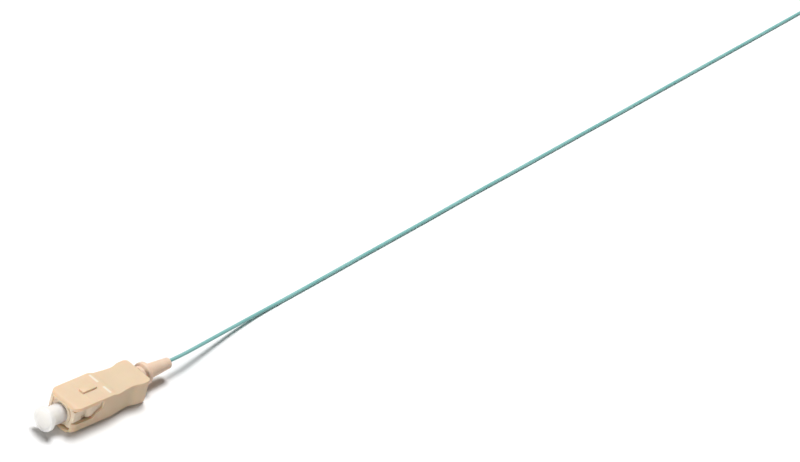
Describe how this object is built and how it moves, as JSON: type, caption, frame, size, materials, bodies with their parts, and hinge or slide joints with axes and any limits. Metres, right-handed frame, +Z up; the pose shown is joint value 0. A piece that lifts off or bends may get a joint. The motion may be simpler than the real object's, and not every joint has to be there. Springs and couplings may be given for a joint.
{
  "type": "fibre optic pigtail",
  "caption": "Simplex SC multimode plug with dust cap and short boot on an aqua tight-buffered fibre, the rest of it coiled; the far end is bare for splicing.",
  "frame": {"origin": "on the floor, below the middle of the plug's length from the dust cap's disc to the boot's end, on the plug's axis seen from above", "axes": "+X along the plug's axis, from the dust cap towards the boot and the fibre; +Z up, through the key; +Y to the left of someone who looks along +X"},
  "size_m": [0.4022, 0.0398, 0.008],
  "materials": {
    "housing": "fine spark-eroded texture",
    "inner_housing": "satin",
    "ferrule": "polished",
    "steel": "bright",
    "boot": "matt",
    "cap": "translucent, satin",
    "buffer": "smooth",
    "tie": "satin"
  },
  "bodies": {
    "plug": {"plug_frame": "inner_housing", "rear_body": "steel", "boot": "boot", "ferrule_spring": "steel", "fibre_lead": "buffer", "fibre_coil": "buffer", "coil_tie": "tie"},
    "sleeve": {"coupling_sleeve": "housing"},
    "ferrule_group": {"ferrule": "ferrule", "ferrule_flange": "steel"},
    "cap": {"dust_cap": "cap"}
  },
  "joints": [
    {"name": "sleeve_slide", "type": "slide", "parent": "plug", "child": "sleeve", "axis": [1, 0, 0], "range_m": [0, 0.0015]},
    {"name": "ferrule_float", "type": "slide", "parent": "plug", "child": "ferrule_group", "axis": [1, 0, 0], "range_m": [0, 0.001], "stiffness_N_per_m": 5000, "deforming": ["ferrule_spring"]},
    {"name": "dust_cap_pull", "type": "slide", "parent": "plug", "child": "cap", "axis": [-1, 0, 0], "range_m": [0, 0.01]}
  ]
}
